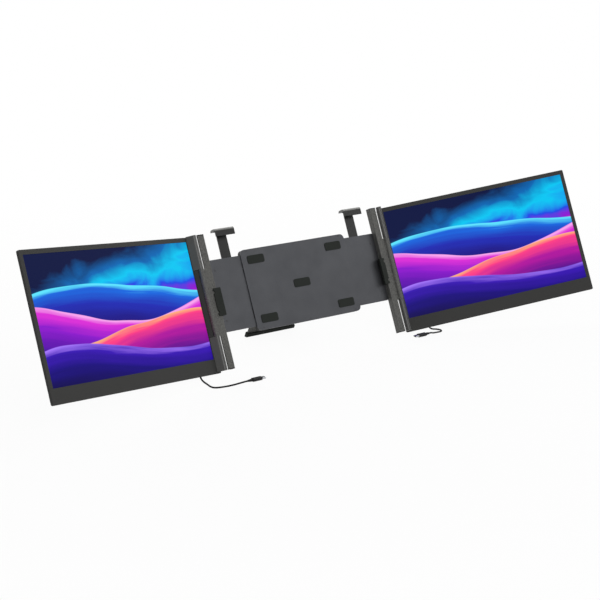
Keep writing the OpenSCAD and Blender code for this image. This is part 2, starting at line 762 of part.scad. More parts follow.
// Plug that points at the laptop's side wall, with its boot, body and metal shell
module cable_plug(side) {
    end = route_of(side)[len(route_of(side)) - 1];
    way = side == "left" ? 1 : -1;
    color(RUBBER) translate(end) scale([way, 1, 1]) {
        for (i = [0:3]) translate([i * plug_boot / 4, 0, 0]) rotate([0, 90, 0])
            cylinder(r1 = cable_d / 2 + 0.2 + i * 0.2, r2 = cable_d / 2 + 0.5 + i * 0.2, h = plug_boot / 4);
        translate([plug_boot, 0, 0]) rotate([90, 0, 90]) linear_extrude(plug_body)
            rounded(-plug_w / 2, plug_w / 2, -plug_t / 2, plug_t / 2, plug_t / 2 - 0.1);
        translate([plug_boot + plug_body, 0, 0]) rotate([90, 0, 90]) {
            linear_extrude(plug_tip) difference() {
                rounded(-4.1, 4.1, -1.2, 1.2, 1.19);
                rounded(-3.8, 3.8, -0.9, 0.9, 0.89);
            }
            linear_extrude(1) rounded(-3.9, 3.9, -1, 1, 0.99);
        }
    }
}

module housing_front_plate() {
    color(STEEL) lean() difference() {
        slab(-h_x, h_x, h_z0, h_z1, plate_front, plate_back, h_r);
        for (x = h_screw_x) for (z = h_screw_z) rod_y(x, z, plate_front - cut, plate_back + cut,
            h_screw_r + touch);
        rod_y(0, 0, plate_front - cut, plate_back + cut, shaft_r + touch);
    }
}

module housing_rear_cover() {
    color(BLACK) lean() difference() {
        union() {
            difference() {
                eased(-h_x, h_x, h_z0, h_z1, plate_back, cover_out, h_r, housing_wall);
                slab(-h_x + housing_wall, h_x - housing_wall, h_z0 + housing_wall, h_z1 - housing_wall,
                    plate_back - cut, cover_in, h_r - housing_wall);
                box(-h_x - cut, h_x + cut, plate_back - cut, arm_back + slide_gap,
                    arm_mid - arm_h / 2 - slide_gap, arm_mid + arm_h / 2 + slide_gap);
            }
            for (x = h_screw_x) for (z = h_screw_z) rod_y(x, z, plate_back, cover_in + touch, h_boss_r);
            for (s = [-1, 1]) kick_ear(s);
        }
        for (x = h_screw_x) for (z = h_screw_z) {
            rod_y(x, z, plate_back - cut, cover_out + cut, h_screw_r + touch);
            rod_y(x, z, cover_out - 1.2, cover_out + cut, h_screw_head_r + touch);
        }
        rod_y(0, 0, cover_in - cut, cover_in + 1.2, shaft_r + touch);
        translate([-ear_x1 - cut, kick_y, kick_rise]) rotate([0, 90, 0])
            cylinder(r = leg_pin_r, h = 2 * ear_x1 + 2 * cut);
    }
}

// Ear for the kickstand's pin, standing on the rear cover
module kick_ear(s) {
    x = s < 0 ? -ear_x1 : ear_x0;
    translate([x, kick_y, kick_rise]) rotate([0, 90, 0]) cylinder(r = leg_barrel_r, h = ear_len);
    box(x, x + ear_len, cover_out - touch, kick_y, kick_rise - leg_barrel_r, kick_rise + leg_barrel_r);
}

module housing_screws() {
    color("#a0a0a0") lean() for (x = h_screw_x) for (z = h_screw_z) {
        rod_y(x, z, plate_front + 0.2, cover_out - 1.2, h_screw_r);
        rod_y(x, z, cover_out - 1.2, cover_out - 0.1, h_screw_head_r);
    }
}

module lid_pads() {
    color(RUBBER) lean() {
        for (x = [pad_side - h_x, h_x - pad_side]) for (z = [h_z0 + pad_in, h_z1 - pad_in]) lid_pad(x, z);
        lid_pad(0, 0);
    }
}

module lid_pad(x, z) {
    slab(x - pad_w / 2, x + pad_w / 2, z - pad_h / 2, z + pad_h / 2, pad_front, plate_front, 3);
}

module pinion_shaft() {
    color(STEEL) lean() rod_y(0, 0, plate_front + 0.1, cover_in + 1.1, shaft_r);
}

// Involute tooth outlines
function involute(a) = tan(a) - a * PI / 180;
function half_angle(r) = let (base = pitch_r * cos(pressure))
    ((tooth_pitch / 2 - backlash / 2) / (2 * pitch_r) + involute(pressure)
    - involute(acos(min(1, base / r)))) * 180 / PI;
module pinion_profile() {
    base = pitch_r * cos(pressure);
    root = pitch_r - tooth_root;
    tip = pitch_r + tooth_top;
    flank = [for (i = [0:4]) base + (tip - base) * i / 4];
    polygon([for (k = [0:pinion_teeth - 1]) let (c = 90 + k * 360 / pinion_teeth)
        each concat([polar(root, c - half_angle(base))], [for (r = flank) polar(r, c - half_angle(r))],
            [for (i = [4:-1:0]) polar(flank[i], c + half_angle(flank[i]))],
            [polar(root, c + half_angle(base))])]);
}

module sync_pinion() {
    color("#c8c4b8") lean() difference() {
        union() {
            translate([0, rack_back, 0]) rotate([90, 0, 0]) linear_extrude(rack_back - pinion_front)
                pinion_profile();
            rod_y(0, 0, arm_front, pinion_front + touch, shaft_r + 2);
        }
        rod_y(0, 0, arm_front - cut, rack_back + cut, shaft_r + pin_clearance);
    }
}

// Places what is drawn for the leg: y = 0 on its middle plane, z = 0 on the pin, leg down
module on_leg() {
    lean() translate([0, kick_y, kick_rise]) rotate([kick_angle, 0, 0]) children();
}

module kickstand_leg() {
    sole = leg_len - foot_t;
    color(GREY) on_leg() difference() {
        union() {
            translate([-leg_top_w / 2, 0, 0]) rotate([0, 90, 0]) cylinder(r = leg_barrel_r, h = leg_top_w);
            translate([0, leg_t / 2, 0]) rotate([90, 0, 0]) linear_extrude(leg_t)
                polygon([[-leg_top_w / 2, 0], [leg_top_w / 2, 0], [leg_top_w / 2, -leg_shoulder],
                    [leg_foot_w / 2, leg_heel - sole], [leg_foot_w / 2, -sole], [-leg_foot_w / 2, -sole],
                    [-leg_foot_w / 2, leg_heel - sole], [-leg_top_w / 2, -leg_shoulder]]);
            for (s = [-1, 1]) leg_rib(s, leg_top_w / 2 - leg_rib_in, leg_foot_w / 2 - leg_rib_in,
                -leg_shoulder, leg_heel + foot_h - sole);
        }
        translate([-leg_top_w, 0, 0]) rotate([0, 90, 0])
            cylinder(r = leg_pin_r + pin_clearance, h = 2 * leg_top_w);
        slab(-leg_slot_w / 2, leg_slot_w / 2, leg_slot_low - sole, -leg_slot_high, -leg_t, leg_t,
            leg_slot_w / 4);
    }
}

// Pressed rib down the leg's outer face, from x0 at z0 to x1 at z1
module leg_rib(s, x0, x1, z0, z1) {
    translate([0, leg_t / 2 + leg_rib, 0]) rotate([90, 0, 0]) linear_extrude(leg_rib + touch) {
        polygon([[s * (x0 - leg_rib_w / 2), z0], [s * (x0 + leg_rib_w / 2), z0],
            [s * (x1 + leg_rib_w / 2), z1], [s * (x1 - leg_rib_w / 2), z1]]);
        translate([s * x0, z0]) circle(leg_rib_w / 2);
        translate([s * x1, z1]) circle(leg_rib_w / 2);
    }
}

// Rubber shoe on the leg's end, its sole flat on the table
module kickstand_foot() {
    color(RUBBER) intersection() {
        on_leg() difference() {
            slab(-leg_foot_w / 2 - foot_t, leg_foot_w / 2 + foot_t, -leg_len - foot_h, -leg_len + foot_h,
                -leg_t / 2 - foot_t, leg_t / 2 + foot_t, 2);
            box(-leg_foot_w / 2 - touch, leg_foot_w / 2 + touch, -leg_t / 2 - touch, leg_t / 2 + touch,
                -leg_len + foot_t - touch, -leg_len + foot_h + cut);
        }
        box(-leg_foot_w, leg_foot_w, -2 * leg_len, 2 * leg_len, -table_drop, 0);
    }
}

module kickstand_pin() {
    color(STEEL) lean() translate([-ear_x1 + 0.2, kick_y, kick_rise])
        rotate([0, 90, 0]) cylinder(r = leg_pin_r, h = 2 * ear_x1 - 0.4);
}

module side_part(side, part) {
    if (part == "front_bezel") front_bezel(side);
    if (part == "lcd_panel") lcd_panel(side);
    if (part == "backlight_unit") backlight_unit(side);
    if (part == "rear_cover") rear_cover(side);
    if (part == "cover_screws") cover_screws(side);
    if (part == "upper_knuckle") knuckle(side, upper_z0, post_top);
    if (part == "lower_knuckle") knuckle(side, -post_drop, lower_z1);
    if (part == "hinge_trim") hinge_trim(side);
    if (part == "driver_board") driver_board(side);
    if (part == "speakers") speakers(side);
    if (part == "power_button") button(side, button_spots[0]);
    if (part == "menu_button") button(side, button_spots[1]);
    if (part == "cable_gland") cable_gland(side);
    if (part == "arm_plate") arm_plate(side);
    if (part == "arm_rack") arm_rack(side);
    if (part == "arm_screws") arm_screws(side);
    if (part == "post") post(side);
    if (part == "post_caps") post_caps(side);
    if (part == "side_grip") side_grip(side);
    if (part == "hinge_pin") hinge_pin(side);
    if (part == "clip_guide") clip_guide(side);
    if (part == "clip_hook") clip_hook(side);
    if (part == "clip_pad") clip_pad(side);
    if (part == "cable") cable(side);
    if (part == "cable_plug") cable_plug(side);
}

housing_front_plate();
housing_rear_cover();
housing_screws();
lid_pads();
pinion_shaft();
sync_pinion();
kickstand_leg();
kickstand_foot();
kickstand_pin();
for (s = SIDES) for (p = SIDE_PARTS) {
    side_part(s, p);
}
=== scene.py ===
import json
import math
import bmesh
import bpy
from mathutils import Matrix, Vector


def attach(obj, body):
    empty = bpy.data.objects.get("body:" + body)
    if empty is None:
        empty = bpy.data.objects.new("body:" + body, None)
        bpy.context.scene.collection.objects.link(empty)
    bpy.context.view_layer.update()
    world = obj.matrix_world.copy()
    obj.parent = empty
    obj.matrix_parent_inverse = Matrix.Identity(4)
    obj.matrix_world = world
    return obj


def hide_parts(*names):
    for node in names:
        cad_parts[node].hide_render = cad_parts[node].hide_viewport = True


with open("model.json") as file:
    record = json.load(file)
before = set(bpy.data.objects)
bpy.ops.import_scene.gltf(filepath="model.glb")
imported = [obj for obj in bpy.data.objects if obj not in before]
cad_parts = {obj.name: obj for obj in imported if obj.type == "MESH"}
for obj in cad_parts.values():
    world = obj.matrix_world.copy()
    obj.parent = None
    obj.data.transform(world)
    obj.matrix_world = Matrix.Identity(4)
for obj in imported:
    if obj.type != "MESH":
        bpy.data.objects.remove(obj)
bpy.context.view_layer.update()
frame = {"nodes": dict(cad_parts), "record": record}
nodes = frame["nodes"]
print("frame loaded:", len(nodes), "nodes")

# places: millimetres and degrees in the tables, metres in the scene
mm = 0.001
tiny = 1e-6  # metres: points closer than that count as one
bracket = {
    "lean": 24.75,  # of the bracket and the lid, backward
    "padFront": 6.3,  # from the hinge lines' plane back to the pads' faces, where the origin is
    "hingeX": 187.5,  # from the middle to a hinge line
    "toeIn": 20.0,  # of each monitor
    "offset": {"left": 7.0, "right": 17.0},  # of each monitor's face behind its hinge line
    "table": -115.5}  # height of the tabletop


def lidMatrix():
    # the leaning bracket's frame, with the hinge lines in its plane y = 0
    return (Matrix.Rotation(math.radians(-bracket["lean"]), 4, "X")
            @ Matrix.Translation((0, -bracket["padFront"] * mm, 0)))


def sideMatrix(side):
    # the same frame, with x pointing outward on both sides
    return lidMatrix() @ (Matrix.Scale(-1, 4, (1, 0, 0)) if side == "left" else Matrix.Identity(4))


def wingMatrix(side):
    # a monitor's own frame: x outward from the hinge line, y behind its face, z up
    return (sideMatrix(side) @ Matrix.Translation((bracket["hingeX"] * mm, 0, 0))
            @ Matrix.Rotation(math.radians(-bracket["toeIn"]), 4, "Z")
            @ Matrix.Translation((0, bracket["offset"][side] * mm, 0)))


# camera: places in metres, lens and sensor in millimetres
view = {"at": (-1.2555, -1.8382, 0.6249), "forward": (0.5396, 0.7930, -0.2829), "lens": 82.5, "sensor": 36,
        "near": 0.05, "far": 60}
cameraData = bpy.data.cameras.new("camera")
cameraData.lens = view["lens"]
cameraData.sensor_width = view["sensor"]
cameraData.clip_start = view["near"]
cameraData.clip_end = view["far"]
camera = bpy.data.objects.new("camera", cameraData)
camera.location = view["at"]
camera.rotation_euler = Vector(view["forward"]).to_track_quat("-Z", "Y").to_euler()
bpy.context.scene.collection.objects.link(camera)
bpy.context.scene.camera = camera
bpy.context.scene.view_settings.view_transform = "Standard"
print("camera placed")


# materials
def srgb(code):
    # sRGB hex to linear values
    parts = [int(code[i:i + 2], 16) / 255 for i in (1, 3, 5)]
    return tuple(c / 12.92 if c <= 0.04045 else ((c + 0.055) / 1.055) ** 2.4 for c in parts) + (1.0,)


def addNode(tree, kind, inputs=None, stops=None, **settings):
    made = tree.nodes.new("ShaderNode" + kind)
    for name, value in settings.items():
        setattr(made, name, value)
    for key, value in (inputs or {}).items():
        if isinstance(value, bpy.types.NodeSocket):
            tree.links.new(value, made.inputs[key])
        else:
            made.inputs[key].default_value = value
    for i, (place, colour) in enumerate(stops or []):
        points = made.color_ramp.elements
        point = points[i] if i < 2 else points.new(place)
        point.position = place
        point.color = srgb(colour)
    return made


def newMaterial(name):
    material = bpy.data.materials.new(name)
    material.use_nodes = True
    tree = material.node_tree
    return material, tree, tree.nodes["Principled BSDF"]


def grainSize(size):
    return 1 / (size * mm)  # texture scale for a grain of that many millimetres


# what all finishes share: how rough the grain's pattern is, how fine the broad pattern, between which
# levels of the pattern the tones and the roughness change, and how well the soft corners are sampled
pattern = {"roughness": 0.6, "broadDetail": 2.0, "tones": (0.36, 0.64), "levels": (0.3, 0.7), "samples": 4}


def surface(name, light, dark, grain, bump, roughness, spread=0.08, metallic=0.0, ior=1.5, gloss=0.4,
            patch=35.0, cloud=0.35, edge=0.35, detail=3.0, stretch=(1, 1, 1)):
    # One finish: two close tones, a grain that also lifts the surface, and softened corners.
    # grain, bump, patch and edge are in millimetres, and cloud is the broad pattern's share.
    material, tree, shader = newMaterial(name)
    where = addNode(tree, "TexCoord")
    grid = addNode(tree, "Mapping", {"Vector": where.outputs["Object"], "Scale": stretch})
    fine = addNode(tree, "TexNoise", {"Vector": grid.outputs[0], "Scale": grainSize(grain), "Detail": detail,
                                      "Roughness": pattern["roughness"]})
    broad = addNode(tree, "TexNoise", {"Vector": where.outputs["Object"], "Scale": grainSize(patch),
                                       "Detail": pattern["broadDetail"]})
    blend = addNode(tree, "Mix", {"Factor": cloud, "A": fine.outputs["Fac"], "B": broad.outputs["Fac"]},
                    data_type="FLOAT")
    tone = addNode(tree, "ValToRGB", {"Fac": blend.outputs[0]},
                   stops=list(zip(pattern["tones"], (dark, light))))
    tree.links.new(tone.outputs["Color"], shader.inputs["Base Color"])
    least, most = pattern["levels"]
    rough = addNode(tree, "MapRange", {"Value": blend.outputs[0], "From Min": least, "From Max": most,
                                       "To Min": roughness - spread, "To Max": roughness + spread})
    tree.links.new(rough.outputs[0], shader.inputs["Roughness"])
    corner = addNode(tree, "Bevel", {"Radius": edge * mm}, samples=pattern["samples"])
    raised = addNode(tree, "Bump", {"Height": fine.outputs["Fac"], "Normal": corner.outputs[0],
                                    "Strength": 1.0, "Distance": bump * mm})
    tree.links.new(raised.outputs[0], shader.inputs["Normal"])
    shader.inputs["Metallic"].default_value = metallic
    if not metallic:
        shader.inputs["IOR"].default_value = ior
        shader.inputs["Specular IOR Level"].default_value = gloss
    return material


def paintedHighlightRim(material, low, high, colour, most):
    # painted highlight: the colour turns light grey from a low height along the leaning lid upward, and most
    # from the high one on, standing in for the lamps' sheen on the rounded tops
    tree = material.node_tree
    coated = tree.nodes["Principled BSDF"].inputs["Base Color"]
    lean = math.radians(bracket["lean"])
    where = addNode(tree, "TexCoord")
    height = addNode(tree, "VectorMath", {0: where.outputs["Object"], 1: (0, math.sin(lean), math.cos(lean))},
                     operation="DOT_PRODUCT")
    share = addNode(tree, "MapRange", {"Value": height.outputs["Value"], "From Min": low * mm,
                                       "From Max": high * mm, "To Max": most})
    highlighted = addNode(tree, "Mix", {"Factor": share.outputs[0], "A": coated.links[0].from_socket,
                                 "B": srgb(colour)}, data_type="RGBA")
    tree.links.new(highlighted.outputs["Result"], coated)


finishes = {}
# PC/ABS with a fine spark-eroded grain: even, dull, a faint sheen along the rims
finishes["bezel_plastic"] = surface("moulded PC-ABS, frame", "#30302e", "#282827", 0.8, 0.03, 0.58, ior=1.58,
                                    gloss=0.2)
# the same plastic in a coarser grain on the backs, a shade darker
finishes["shell_plastic"] = surface("moulded PC-ABS, shell", "#1e1e1d", "#171716", 1.1, 0.05, 0.6, ior=1.58,
                                    gloss=0.2)
# zinc die casting under satin lacquer: smooth, with one long soft highlight
finishes["hinge_metal"] = surface("lacquered zinc casting", "#4b4b49", "#40403e", 0.6, 0.006, 0.32,
                                  spread=0.05, ior=1.5, patch=22)
# extruded aluminium with wrinkle powder coat: small bright and dark flecks (drawn a little coarser)
finishes["post_aluminium"] = surface("wrinkle-coated aluminium", "#666662", "#363634", 1.8, 0.2, 0.5,
                                     spread=0.12, ior=1.5, patch=5, cloud=0.08, detail=4.0)
# bead-blasted sheet, anodised dark grey: faintly cloudy, soft metallic sheen
finishes["arm_aluminium"] = surface("bead-blasted anodised aluminium", "#4b4c4f", "#424346", 0.5, 0.01, 0.42,
                                    metallic=0.85, patch=30)
# powder-coated steel: near black and satin, with a painted highlight along the hooks' rounded tops
finishes["clip_metal"] = surface("powder-coated steel", "#20201f", "#191918", 1.4, 0.02, 0.3, spread=0.05,
                                 gloss=0.35)
# painted highlight: light grey mixed into the colour over the hooks' rounded tops, in place of the lamps'
# sheen there
paintedHighlightRim(finishes["clip_metal"], low=106.3, high=107.6, colour="#8e8e8b", most=0.9)
# ground steel pins: fine turned lines round the pin
finishes["pin_steel"] = surface("ground steel", "#b4b6b8", "#9a9c9f", 0.25, 0.004, 0.28, metallic=1.0,
                                patch=12, stretch=(1, 1, 6))
# black oxide screws: dark, with a soft metallic sheen
finishes["screw_steel"] = surface("black oxide steel", "#4b4b4d", "#3a3a3c", 0.3, 0.006, 0.4, metallic=0.9,
                                  patch=6)
# white acetal gear parts: waxy, slightly translucent
finishes["gear_plastic"] = surface("acetal", "#e2dfd3", "#d6d2c4", 0.9, 0.008, 0.38, ior=1.48)
finishes["gear_plastic"].node_tree.nodes["Principled BSDF"].inputs["Subsurface Weight"].default_value = 0.1
# moulded nylon end caps: near black and dull
finishes["cap_plastic"] = surface("moulded nylon", "#1d1d1c", "#161615", 0.7, 0.02, 0.5, ior=1.53,
                                  gloss=0.25)
# moulded ABS keys: a little paler and smoother than the shell round them
finishes["button_plastic"] = surface("moulded ABS, keys", "#4a4a49", "#424241", 0.6, 0.01, 0.42, ior=1.54)
# silicone rubber: dull, dusty grain
finishes["grip_rubber"] = surface("silicone rubber", "#252925", "#1b1e1b", 0.9, 0.05, 0.8, spread=0.1,
                                  ior=1.43, gloss=0.3, patch=14)
# soft TPE of the cables and their plugs: near black, with a faint sheen
finishes["cable_rubber"] = surface("TPE rubber", "#121212", "#0d0d0d", 0.6, 0.02, 0.6, ior=1.5, patch=10,
                                   gloss=0.2)
finishes["plug_plastic"] = surface("TPE overmould", "#151515", "#0f0f0f", 0.6, 0.02, 0.55, ior=1.5, patch=8,
                                   gloss=0.25)
# inner parts: speaker cases, light guides, the panels' cut glass edges and green circuit boards
finishes["speaker_plastic"] = surface("moulded polypropylene", "#1c1c1c", "#151515", 0.9, 0.03, 0.6, ior=1.49)
finishes["light_guide"] = surface("acrylic light guide", "#e8e9e6", "#dcddd9", 2.5, 0.01, 0.3, ior=1.49)
finishes["panel_glass"] = surface("panel edge glass", "#15161a", "#101114", 1.2, 0.004, 0.3, ior=1.52)
finishes["circuit_board"] = surface("solder mask", "#1f6a43", "#175236", 1.5, 0.02, 0.35, ior=1.5, patch=5)


# wallpaper, in shares of the picture's width and height
wallpaperLook = {
    "glow": 1.0,
    "glass": "#08090c",
    "haze": 0.34,  # roughness of the anti-glare face
    "gloss": 0.03,
    "slant": -0.45,  # the sky's level changes by that much from left to right, so its bands rise
    "drift": {"scale": 2.2, "detail": 1.0},
    "cloud": 0.35,  # how far the drift bends the sky
    "wobble": 0.10,  # how far it bends the crests
    "mist": {"scale": 5.0, "detail": 5.0, "curl": 0.8, "strength": 0.16},
    "strand": {"size": (2.4, 26.0, 3.0), "detail": 4.0, "strength": 0.34},
    "soft": 0.006,  # width of a crest's soft edge
    "fall": 3.2,  # how fast a band darkens below its crest
    "steps": (0.0, 0.14, 0.5, 1.0),
    "sky": [(0.10, "#ff7a2c"), (0.24, "#ff3a86"), (0.38, "#8d16d2"), (0.50, "#1f46e6"), (0.62, "#00c8f4"),
            (0.76, "#0668b4"), (0.94, "#041040")],
    "bands": [  # height, swing, turns across, start, tones from the crest down
        (0.60, 0.10, 3.4, 0.5, ("#5fe6ff", "#1668e0", "#1f2bb4", "#1c1080")),
        (0.47, 0.11, 4.1, 2.3, ("#ffb4f4", "#e02fd8", "#8c14cc", "#4c0ba4")),
        (0.31, 0.09, 3.7, 4.4, ("#ffb27a", "#ff3f86", "#b0139e", "#520a90")),
        (0.17, 0.08, 4.6, 0.9, ("#a878ff", "#3a14b4", "#1c0a80", "#0e0548"))]}


def pictureMaterial():
    # Anti-glare panel, lit from inside, with a generic wallpaper of rolling bands under a glowing sky
    look = wallpaperLook
    drift, mist, strand = look["drift"], look["mist"], look["strand"]
    material, tree, shader = newMaterial("anti-glare display glass")
    uv = addNode(tree, "UVMap", uv_map="face")
    bend = addNode(tree, "TexNoise", {"Vector": uv.outputs[0], "Scale": drift["scale"],
                                      "Detail": drift["detail"]})
    axes = addNode(tree, "SeparateXYZ", {0: uv.outputs[0]})
    across, up = axes.outputs[0], axes.outputs[1]
    hazy = addNode(tree, "Math", {0: across, 1: look["slant"], 2: up}, operation="MULTIPLY_ADD")
    hazy = addNode(tree, "Math", {0: bend.outputs["Fac"], 1: look["cloud"], 2: hazy.outputs[0]},
                   operation="MULTIPLY_ADD")
    wisps = addNode(tree, "TexNoise", {"Vector": uv.outputs[0], "Scale": mist["scale"],
                                       "Detail": mist["detail"], "Distortion": mist["curl"]})
    # the noise lies round a half, so the mist shifts the sky's level both ways
    level = addNode(tree, "Math", {0: wisps.outputs["Fac"], 1: -0.5}, operation="ADD")
    hazy = addNode(tree, "Math", {0: level.outputs[0], 1: mist["strength"] * 2, 2: hazy.outputs[0]},
                   operation="MULTIPLY_ADD")
    sky = addNode(tree, "ValToRGB", {"Fac": hazy.outputs[0]}, stops=look["sky"])
    picture = sky.outputs[0]
    for height, swing, turns, start, tones in look["bands"]:
        angle = addNode(tree, "Math", {0: across, 1: turns, 2: start}, operation="MULTIPLY_ADD")
        wave = addNode(tree, "Math", {0: angle.outputs[0]}, operation="SINE")
        crest = addNode(tree, "Math", {0: wave.outputs[0], 1: swing, 2: height}, operation="MULTIPLY_ADD")
        crest = addNode(tree, "Math", {0: bend.outputs["Fac"], 1: look["wobble"], 2: crest.outputs[0]},
                        operation="MULTIPLY_ADD")
        depth = addNode(tree, "Math", {0: crest.outputs[0], 1: up}, operation="SUBTRACT")
        inside = addNode(tree, "MapRange", {"Value": depth.outputs[0], "From Max": look["soft"]},
                         interpolation_type="SMOOTHSTEP")
        # fine strands that run along the band
        along = addNode(tree, "CombineXYZ", {0: across, 1: depth.outputs[0], 2: start})
        along = addNode(tree, "VectorMath", {0: along.outputs[0], 1: strand["size"]}, operation="MULTIPLY")
        silk = addNode(tree, "TexNoise", {"Vector": along.outputs[0], "Scale": 1.0,
                                          "Detail": strand["detail"]})
        level = addNode(tree, "Math", {0: silk.outputs["Fac"], 1: strand["strength"],
                                       2: -strand["strength"] / 2}, operation="MULTIPLY_ADD")
        down = addNode(tree, "Math", {0: depth.outputs[0], 1: look["fall"], 2: level.outputs[0]},
                       operation="MULTIPLY_ADD")
        tone = addNode(tree, "ValToRGB", {"Fac": down.outputs[0]}, stops=list(zip(look["steps"], tones)))
        layer = addNode(tree, "Mix", {"Factor": inside.outputs[0]}, data_type="RGBA")
        tree.links.new(picture, layer.inputs["A"])
        tree.links.new(tone.outputs[0], layer.inputs["B"])
        picture = layer.outputs["Result"]
    tree.links.new(picture, shader.inputs["Emission Color"])
    shader.inputs["Emission Strength"].default_value = look["glow"]
    shader.inputs["Base Color"].default_value = srgb(look["glass"])
    shader.inputs["Roughness"].default_value = look["haze"]
    shader.inputs["Specular IOR Level"].default_value = look["gloss"]
    return material


wallpaper = pictureMaterial()

slotOf = {row["node"]: row["material_slot"] for row in frame["record"]["subparts"]}
for name, piece in nodes.items():
    piece.data.materials.clear()
    piece.data.materials.append(finishes[slotOf[name]])
print("finishes on", len(nodes), "nodes")


# pieces
def pieceFrom(name, mesh, place, materials, body):
    # a finished bmesh becomes an object whose place is in its mesh
    bmesh.ops.transform(mesh, matrix=place, verts=mesh.verts)
    bmesh.ops.remove_doubles(mesh, verts=mesh.verts, dist=tiny)
    bmesh.ops.recalc_face_normals(mesh, faces=mesh.faces)
    data = bpy.data.meshes.new(name)
    mesh.to_mesh(data)
    mesh.free()
    for material in materials:
        data.materials.append(material)
    for face in data.polygons:
        face.use_smooth = False
    piece = bpy.data.objects.new(name, data)
    bpy.context.scene.collection.objects.link(piece)
    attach(piece, body)
    return piece


# cables: the points that their tubes follow in the model, from the gland to the plug
cables = {
    "thickness": 2.8,
    "length": {"left": 101.0, "right": 92.0},
    "gland": (45.0, 6.3, -112.4),  # in the monitor's frame
    "exit": (0, 2, 4),  # how far below the gland's place the first points are
    "left": [(-234, -59.5, -107.5), (-232, -62, -111.5), (-230.5, -67, -113.6), (-230.6, -74, -114),
             (-231.5, -82, -114), (-230.8, -88.8, -114), (-227.5, -93, -114), (-222, -96, -113.8),
             (-215.5, -100, -112.8), (-209.5, -104.6, -111.2), (-204, -109.2, -109.2), (-199, -113.2, -107.2),
             (-194.5, -116.6, -105.4), (-190.8, -118.8, -104.2), (-187.6, -119.8, -103.6),
             (-184.5, -120, -103.5)],
    "right": [(239, -49.8, -109.8), (242, -50, -112.2), (246.5, -50.5, -113.8), (250.5, -53, -114),
              (253.4, -57.5, -114), (254, -62.5, -114), (251.5, -67, -113.9), (246, -69.8, -113.5),
              (238.5, -72, -112.5), (230, -75.2, -111), (222.5, -79.1, -109), (216.8, -83, -106.8),
              (212.2, -86.3, -105), (208.6, -88.6, -103.9), (206, -89.7, -103.5), (204, -90, -103.5)],
    "reach": 1 / 6,  # a point's handles, as a share of the way between its neighbours
    "steps": 6,  # from each point to the next
    "roundness": 4}


# plug at the end of each cable: ribbed boot, overmould and metal shell
plug = {
    # boot: its length, the bore at its start, the room round the cable, the flare at its end, its faces
    "boot": 8.0, "bore": 0.2, "sleeve": 0.15, "flare": 0.9, "sides": 20,
    # its ribs: how many, how much wider each is than the last, and their width, bevel and height
    "ribs": 4, "growth": 0.2, "ribWidth": 1.6, "ribEdge": 0.3, "ribRise": 0.35,
    # overmould
    "body": 16.5, "width": 9.0, "height": 5.6, "softening": 0.5,
    # shell: how far it stands out, its section, wall and seat, and the depth and draft of its mouth
    "tip": 6.5, "tipWidth": 8.2, "tipHeight": 2.4, "wall": 0.3, "seat": 0.3, "mouth": 5.0, "draft": 0.02,
    # tongue: where it starts behind the shell's end, the gap beside it, its height, where it ends
    "tongue": 5.2, "tongueGap": 0.8, "tongueHeight": 0.7, "tongueSet": 0.6,
    # rounded sides: what stays flat of each, and how many facets the rounding and the softening have
    "flat": 0.02, "roundSteps": 6, "softSteps": 3}


def roundedBar(mesh, x0, x1, width, height, tone, softening=0.0):
    # bar along x whose short sides are half round
    made = bmesh.ops.create_cube(mesh, size=1)["verts"]
    bmesh.ops.scale(mesh, vec=((x1 - x0) * mm, width * mm, height * mm), verts=made)
    bmesh.ops.translate(mesh, vec=((x0 + x1) / 2 * mm, 0, 0), verts=made)
    edges = {e for v in made for e in v.link_edges}
    long = [e for e in edges if abs(e.verts[0].co.x - e.verts[1].co.x) > tiny]
    curved = bmesh.ops.bevel(mesh, geom=long, offset=(height / 2 - plug["flat"]) * mm, affect="EDGES",
                             segments=plug["roundSteps"], profile=0.5, material=-1)
    faces = {f for v in curved["verts"] for f in v.link_faces}
    for face in faces:
        face.material_index = tone
    ends = [f for f in faces if abs(f.normal.x) > 0.9]
    if softening:
        rims = {e for f in ends for e in f.edges}
        bmesh.ops.bevel(mesh, geom=list(rims), offset=softening * mm, affect="EDGES",
                        segments=plug["softSteps"], profile=0.5, material=-1)
    return [f for f in ends if f.is_valid]


def addBoot(mesh):
    # a stepped outline turned round the cable, each rib wider than the one before
    p = plug
    inner = cables["thickness"] / 2
    outline = [(0, p["bore"])]
    for i in range(p["ribs"]):
        x, r = i * p["boot"] / p["ribs"], inner + p["sleeve"] + i * p["growth"]
        outline += [(x, r), (x + p["ribEdge"], r + p["ribEdge"]),
                    (x + p["ribWidth"] - p["ribEdge"], r + p["ribRise"]), (x + p["ribWidth"], r)]
    outline.append((p["boot"], inner + p["flare"]))
    knots = [mesh.verts.new((x * mm, 0, r * mm)) for x, r in outline]
    rim = [mesh.edges.new(pair) for pair in zip(knots, knots[1:])]
    bmesh.ops.spin(mesh, geom=knots + rim, cent=(0, 0, 0), axis=(1, 0, 0), angle=math.tau, steps=p["sides"],
                   use_merge=True, use_duplicate=False)


def buildPlug(side, start):
    p = plug
    mesh = bmesh.new()
    addBoot(mesh)
    bodyEnd = p["boot"] + p["body"]
    roundedBar(mesh, p["boot"], bodyEnd, p["width"], p["height"], 0, p["softening"])
    # shell: its end is set in and pushed back, with the tongue left standing inside
    tipEnd = bodyEnd + p["tip"]
    ends = roundedBar(mesh, bodyEnd - p["seat"], tipEnd, p["tipWidth"], p["tipHeight"], 1)
    mouth = max(ends, key=lambda f: f.calc_center_median().x)
    bmesh.ops.inset_region(mesh, faces=[mouth], thickness=p["wall"] * mm, depth=0)
    bmesh.ops.inset_region(mesh, faces=[mouth], thickness=p["draft"] * mm, depth=-p["mouth"] * mm)
    roundedBar(mesh, tipEnd - p["tongue"], tipEnd - p["tongueSet"], p["tipWidth"] - 2 * p["tongueGap"],
               p["tongueHeight"], 0)
    turned = Matrix.Identity(4) if side == "left" else Matrix.Scale(-1, 4, (1, 0, 0))
    piece = pieceFrom(side + "_plug_moulding", mesh, Matrix.Translation(start) @ turned,
                      [finishes["plug_plastic"], finishes["pin_steel"]], side + "_screen")
    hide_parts(side + "_cable_plug")
    return piece


